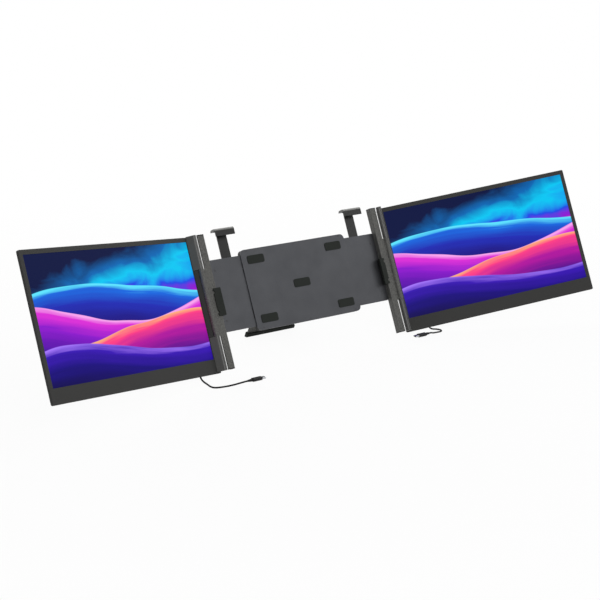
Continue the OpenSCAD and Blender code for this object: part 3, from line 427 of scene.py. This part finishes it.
def layCable(side):
    u, n, z = cables["gland"]
    start = [wingMatrix(side) @ Vector((u * mm, n * mm, (z - drop) * mm)) for drop in cables["exit"]]
    points = start + [Vector(p) * mm for p in cables[side]]
    line = bpy.data.curves.new(side + "_cable_line", "CURVE")
    line.dimensions = "3D"
    line.bevel_depth = cables["thickness"] / 2 * mm
    line.bevel_resolution = cables["roundness"]
    line.resolution_u = cables["steps"]
    line.use_fill_caps = True
    spline = line.splines.new("BEZIER")
    spline.bezier_points.add(len(points) - 1)
    for i, point in enumerate(points):
        before, after = points[max(i - 1, 0)], points[min(i + 1, len(points) - 1)]
        way = (after - before) * cables["reach"]
        knot = spline.bezier_points[i]
        knot.co, knot.handle_left, knot.handle_right = point, point - way, point + way
    line.materials.append(finishes["cable_rubber"])
    cable = bpy.data.objects.new(side + "_cable_flex", line)
    bpy.context.scene.collection.objects.link(cable)
    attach(cable, side + "_screen")
    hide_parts(side + "_cable")
    buildPlug(side, points[-1])


for side in ("left", "right"):
    layCable(side)
print("cables and plugs laid")


# lit panel: gap from the hinge line to the picture, the picture's size, and how far the glass runs on
# behind the frame, at the chin by foot and elsewhere by margin
monitor = {"gap": 11.5, "width": 344.2, "height": 193.6, "lip": 0.75, "glass": 1.2, "margin": 3.5,
           "foot": 4.0, "edge": 0.4, "edgeSteps": 2}


def litPanel(side):
    # glass plate with the picture on its front face
    m = monitor
    mesh = bmesh.new()
    x0, x1 = m["gap"] - m["margin"], m["gap"] + m["width"] + m["margin"]
    z0, z1 = -m["height"] / 2 - m["foot"], m["height"] / 2 + m["margin"]
    bmesh.ops.create_cube(mesh, size=1)
    bmesh.ops.scale(mesh, vec=((x1 - x0) * mm, m["glass"] * mm, (z1 - z0) * mm), verts=mesh.verts)
    middle = ((x0 + x1) / 2 * mm, (m["lip"] + m["glass"] / 2) * mm, (z0 + z1) / 2 * mm)
    bmesh.ops.translate(mesh, vec=middle, verts=mesh.verts)
    bmesh.ops.bevel(mesh, geom=mesh.edges[:], offset=m["edge"] * mm, affect="EDGES",
                    segments=m["edgeSteps"], profile=0.5, material=-1)
    layer = mesh.loops.layers.uv.new("face")
    for face in mesh.faces:
        front = face.normal.y < -0.5
        face.material_index = 0 if front else 1
        for loop in face.loops:
            u = (loop.vert.co.x / mm - m["gap"]) / m["width"]
            v = (loop.vert.co.z / mm + m["height"] / 2) / m["height"]
            loop[layer].uv = ((1 - u) if side == "left" else u, v)
    panel = pieceFrom(side + "_lit_panel", mesh, wingMatrix(side), [wallpaper, finishes["panel_glass"]],
                      side + "_screen")
    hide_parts(side + "_lcd_panel")


for side in ("left", "right"):
    litPanel(side)
print("panels lit")


screws = {
    # head radius and height, shank radius and length, and the radius and depth of the socket
    "cover": {"head": 1.9, "rise": 0.55, "shank": 1.0, "length": 2.9, "socket": 1.1, "deep": 0.35},
    "arm": {"head": 3.0, "rise": 1.2, "shank": 1.6, "length": 3.8, "socket": 1.5, "deep": 0.8},
    "rack": {"head": 1.25, "rise": 0.5, "shank": 1.2, "length": 4.3, "socket": 0.7, "deep": 0.3},
    "housing": {"head": 2.4, "rise": 1.1, "shank": 1.25, "length": 7.9, "socket": 1.4, "deep": 0.6},
    # faces round a head, the ring along its rim as a share of its height, the ring round the socket,
    # and the tapers of the socket and the shank
    "shape": {"sides": 24, "rim": 0.2, "land": 0.3, "draft": 0.03, "taper": 0.01},
    # cross socket: how far off the axes its arms and shoulders end, and how far out each part reaches
    "cross": {"arm": 0.3, "shoulder": 0.6, "armReach": 1.0, "shoulderReach": 0.72, "innerReach": 0.34},
    # places of the heads' undersides, in the frames that the calls below give
    "spots": {
        "cover": [(5.4, 3.9, 64.3), (17, 3.9, -113.4), (141.85, 3.9, -113.4), (221.85, 3.9, -113.4),
                  (346.7, 3.9, -113.4)],
        "arm": [(158, 13.1, -40), (158, 13.1, 2), (158, 13.1, 44)],
        "rack": {"left": [(30, 13.6, 16.31), (52, 13.6, 16.31)],
                 "right": [(30, 13.6, -16.31), (52, 13.6, -16.31)]},
        "housing": [(x, 15.4, z) for x in (-93, 0, 93) for z in (-62.8, 66.8)]}}


def socketReach(turn, crossed):
    # the socket's outline at that angle, as a share of its radius: a cross or a hexagon
    if not crossed:
        side = math.tau / 6
        return math.cos(side / 2) / math.cos(turn % side - side / 2)
    cross = screws["cross"]
    off = abs(math.sin(2 * turn))
    if off < cross["arm"]:
        return cross["armReach"]
    return cross["shoulderReach"] if off < cross["shoulder"] else cross["innerReach"]


def addScrew(mesh, kind, place, crossed):
    # +y points out of the head, whose underside is at y = 0
    s, h = screws[kind], screws["shape"]
    one = bmesh.new()
    bmesh.ops.create_cone(one, cap_ends=True, segments=h["sides"], radius1=s["head"] * mm,
                          radius2=s["head"] * mm, depth=s["rise"] * mm,
                          matrix=Matrix.Translation((0, s["rise"] / 2 * mm, 0))
                          @ Matrix.Rotation(math.radians(-90), 4, "X"))
    top = max(one.faces, key=lambda f: f.calc_center_median().y)
    under = min(one.faces, key=lambda f: f.calc_center_median().y)
    bmesh.ops.inset_region(one, faces=[under], thickness=(s["head"] - s["shank"]) * mm, depth=0)
    bmesh.ops.inset_region(one, faces=[under], thickness=h["taper"] * mm, depth=s["length"] * mm)
    bmesh.ops.inset_region(one, faces=[top], thickness=s["rise"] * h["rim"] * mm, depth=0)
    bmesh.ops.inset_region(one, faces=[top], thickness=h["land"] * mm, depth=0)
    for vert in top.verts:
        turn = math.atan2(vert.co.z, vert.co.x)
        reach = socketReach(turn, crossed) * s["socket"] * mm
        vert.co.x = reach * math.cos(turn)
        vert.co.z = reach * math.sin(turn)
    bmesh.ops.inset_region(one, faces=[top], thickness=h["draft"] * mm, depth=-s["deep"] * mm)
    bmesh.ops.transform(one, matrix=place, verts=one.verts)
    spare = bpy.data.meshes.new("spare")
    one.to_mesh(spare)
    one.free()
    mesh.from_mesh(spare)
    bpy.data.meshes.remove(spare)


def screwSet(name, node, body, rows):
    # rows: kind, frame, spots, crossed or hexagon sockets
    mesh = bmesh.new()
    for kind, place, spots, crossed in rows:
        for spot in spots:
            addScrew(mesh, kind, place @ Matrix.Translation(Vector(spot) * mm), crossed)
    piece = pieceFrom(name, mesh, Matrix.Identity(4), [finishes["screw_steel"]], body)
    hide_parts(node)


spots = screws["spots"]
screwSet("housing_screw_heads", "housing_screws", "bracket",
         [("housing", lidMatrix(), spots["housing"], True)])
for side in ("left", "right"):
    screwSet(side + "_cover_screw_heads", side + "_cover_screws", side + "_screen",
             [("cover", wingMatrix(side), spots["cover"], True)])
    screwSet(side + "_arm_screw_heads", side + "_arm_screws", side + "_arm",
             [("arm", sideMatrix(side), spots["arm"], False),
              ("rack", sideMatrix(side), spots["rack"][side], False)])
print("screws set")


# studio, in metres: the table's colour and half width, the share of the white room that is seen through
# it within near and beyond far, and the room's light. The lamps all point at the origin.
studio = {"floor": "#f6f6f5", "halfWidth": 9, "clearNear": 0.95, "clearFar": 1.0, "near": 0.6, "far": 1.5,
          "room": 0.22}
lamps = {"key": {"place": (2.6, -1.1, 1.6), "size": (1.6, 1.2), "energy": 17.0},
         "fill": {"place": (-0.35, -2.5, 1.5), "size": (1.6, 1.0), "energy": 24.0},
         "top": {"place": (1.2, 0.9, 1.8), "size": (2.2, 1.0), "energy": 20.0},
         "back": {"place": (-0.9, 2.4, 1.3), "size": (1.8, 1.2), "energy": 24.0}}


def seenRays(tree):
    # 1 for what the camera sees, by itself, in gloss or through glass
    paths = addNode(tree, "LightPath")
    seen = paths.outputs["Is Camera Ray"]
    for kind in ("Is Glossy Ray", "Is Transmission Ray"):
        seen = addNode(tree, "Math", {0: seen, 1: paths.outputs[kind]}, operation="MAXIMUM").outputs[0]
    return seen


def addFloor():
    mesh = bmesh.new()
    bmesh.ops.create_grid(mesh, x_segments=2, y_segments=2, size=studio["halfWidth"])
    bmesh.ops.translate(mesh, vec=(0, 0, bracket["table"] * mm), verts=mesh.verts)
    data = bpy.data.meshes.new("floor")
    mesh.to_mesh(data)
    mesh.free()
    material = bpy.data.materials.new("matt white table")
    material.use_nodes = True
    tree = material.node_tree
    tree.nodes.clear()
    matt = addNode(tree, "BsdfDiffuse", {"Color": srgb(studio["floor"])})
    # the camera looks on through to the white room, so a screen swung below the table stays in view
    clear = addNode(tree, "BsdfTransparent")
    # the shadow shows near the object, and the table fades into the background further out
    where = addNode(tree, "TexCoord")
    reach = addNode(tree, "VectorMath", {0: where.outputs["Object"]}, operation="LENGTH")
    fade = addNode(tree, "MapRange", {"Value": reach.outputs["Value"], "From Min": studio["near"],
                                      "From Max": studio["far"], "To Min": studio["clearNear"],
                                      "To Max": studio["clearFar"]}, interpolation_type="SMOOTHSTEP")
    share = addNode(tree, "Math", {0: seenRays(tree), 1: fade.outputs[0]}, operation="MULTIPLY")
    mixed = addNode(tree, "MixShader", {0: share.outputs[0], 1: matt.outputs[0], 2: clear.outputs[0]})
    addNode(tree, "OutputMaterial", {"Surface": mixed.outputs[0]})
    data.materials.append(material)
    floor = bpy.data.objects.new("floor", data)
    bpy.context.scene.collection.objects.link(floor)


def addRoom():
    world = bpy.data.worlds.new("room")
    bpy.context.scene.world = world
    world.use_nodes = True
    tree = world.node_tree
    tree.nodes.clear()
    strength = addNode(tree, "MapRange", {"Value": seenRays(tree), "To Min": studio["room"], "To Max": 1.0})
    sky = addNode(tree, "Background", {"Color": (1, 1, 1, 1), "Strength": strength.outputs[0]})
    addNode(tree, "OutputWorld", {"Surface": sky.outputs[0]})


def addLamp(name, place, size, energy):
    data = bpy.data.lights.new(name, "AREA")
    data.shape = "RECTANGLE"
    data.size, data.size_y = size
    data.energy = energy
    lamp = bpy.data.objects.new(name, data)
    lamp.location = place
    lamp.rotation_euler = (-Vector(place)).to_track_quat("-Z", "Y").to_euler()
    bpy.context.scene.collection.objects.link(lamp)


addFloor()
addRoom()
for name, values in lamps.items():
    addLamp(name, **values)
print("studio lit")
